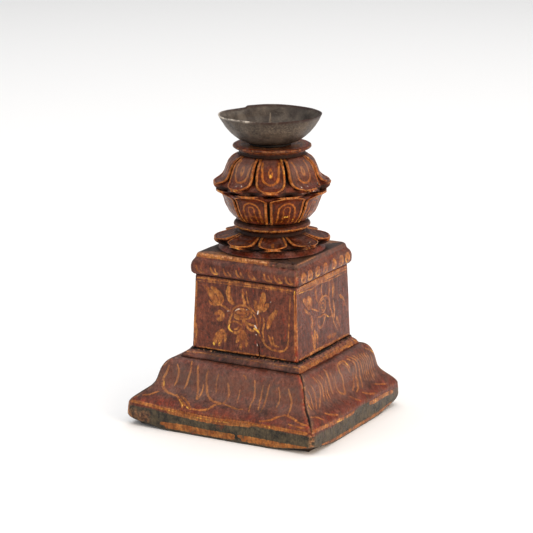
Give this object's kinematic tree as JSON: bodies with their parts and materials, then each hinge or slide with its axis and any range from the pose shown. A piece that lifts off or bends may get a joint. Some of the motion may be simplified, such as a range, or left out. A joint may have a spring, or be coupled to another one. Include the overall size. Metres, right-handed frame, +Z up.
{
  "type": "altar candlestick",
  "caption": "Lacquered wooden altar candlestick: a square moulded pedestal and lotus baluster carry an iron drip bowl that turns and lifts off its candle spike.",
  "frame": {"origin": "centre of the base's footprint on the resting plane", "axes": "+Z up along the stem, -Y out of the front face, +X out of the right-hand face"},
  "size_m": [0.1654, 0.1516, 0.2422],
  "materials": {
    "red_lacquer": "worn satin lacquer with painted gold lines",
    "bare_wood": "matte, unpainted",
    "iron": "dark forged iron, worn bright at edges",
    "leather": "matte, blackened"
  },
  "bodies": {
    "stand": {"base_moulding_front": "red_lacquer", "base_moulding_right": "red_lacquer", "base_moulding_back": "red_lacquer", "base_moulding_left": "red_lacquer", "deck_board": "red_lacquer", "dado_panel_front": "red_lacquer", "dado_panel_right": "red_lacquer", "dado_panel_back": "red_lacquer", "dado_panel_left": "red_lacquer", "cap_board": "red_lacquer", "rosette_foot": "red_lacquer", "lotus_rosette": "red_lacquer", "lower_collar": "red_lacquer", "lower_lotus": "red_lacquer", "upper_lotus": "red_lacquer", "upper_collar": "red_lacquer", "base_glue_block_front_left": "bare_wood", "base_glue_block_front_right": "bare_wood", "base_glue_block_back_right": "bare_wood", "base_glue_block_back_left": "bare_wood", "dado_corner_block_front_left": "bare_wood", "dado_corner_block_front_right": "bare_wood", "dado_corner_block_back_right": "bare_wood", "dado_corner_block_back_left": "bare_wood", "stem_dowel": "bare_wood", "stem_peg": "bare_wood", "mitre_nail_front_left": "iron", "mitre_nail_front_right": "iron", "mitre_nail_back_right": "iron", "mitre_nail_back_left": "iron", "pricket_spike": "iron"},
    "washer": {"bowl_washer": "leather"},
    "bowl": {"drip_bowl": "iron"}
  },
  "joints": [
    {"name": "bowl_turn", "type": "hinge", "parent": "stand", "child": "washer", "pos_m": [0.0038, 0.002, 0.2187], "axis": [0, 0, 1], "continuous": true},
    {"name": "bowl_lift", "type": "slide", "parent": "washer", "child": "bowl", "axis": [0, 0, 1], "range_m": [0, 0.05]}
  ]
}
